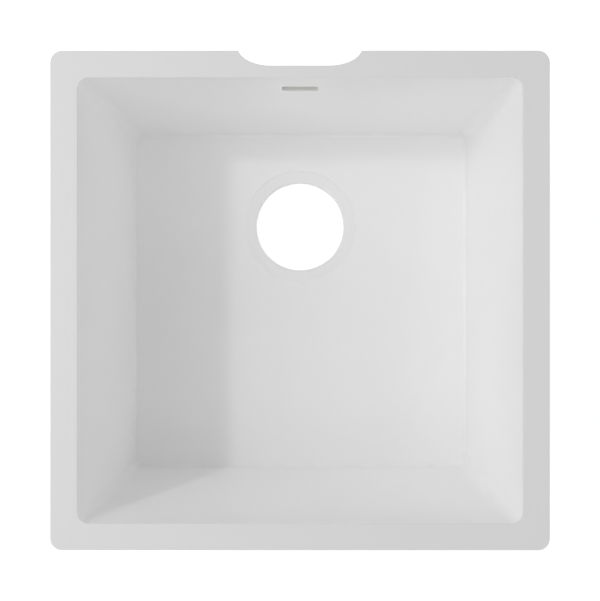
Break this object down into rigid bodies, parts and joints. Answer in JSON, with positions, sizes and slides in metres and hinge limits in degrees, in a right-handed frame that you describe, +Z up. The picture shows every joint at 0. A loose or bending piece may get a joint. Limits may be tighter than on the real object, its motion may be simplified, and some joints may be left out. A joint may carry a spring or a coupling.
{
  "type": "solid surface sink",
  "caption": "Square undermount solid surface sink bowl with a flat notched rim, coved floor, round drain ring and a rear overflow slot with its outlet housing.",
  "frame": {"origin": "on the flat underside of the base, below the middle of the bowl's hollow", "axes": "+X right, +Y to the rear edge with the tap notch and the overflow, +Z up out of the bowl"},
  "size_m": [0.381, 0.3888, 0.202],
  "materials": {
    "solid_surface": "acrylic and mineral sheet, sanded to a satin white",
    "housing_plastic": "moulded polypropylene, lightly textured",
    "gasket_rubber": "die-cut sheet rubber",
    "screw_steel": "stainless steel, as turned",
    "insert_brass": "turned brass"
  },
  "bodies": {
    "root": {"rim_flange": "solid_surface", "rear_wall": "solid_surface", "front_wall": "solid_surface", "left_wall": "solid_surface", "right_wall": "solid_surface", "rear_left_corner_post": "solid_surface", "rear_right_corner_post": "solid_surface", "front_left_corner_post": "solid_surface", "front_right_corner_post": "solid_surface", "rear_cove": "solid_surface", "front_cove": "solid_surface", "left_cove": "solid_surface", "right_cove": "solid_surface", "base_panel": "solid_surface", "drain_ring": "solid_surface", "overflow_gasket": "gasket_rubber", "overflow_housing": "housing_plastic", "overflow_screws": "screw_steel", "overflow_inserts": "insert_brass"}
  },
  "joints": []
}
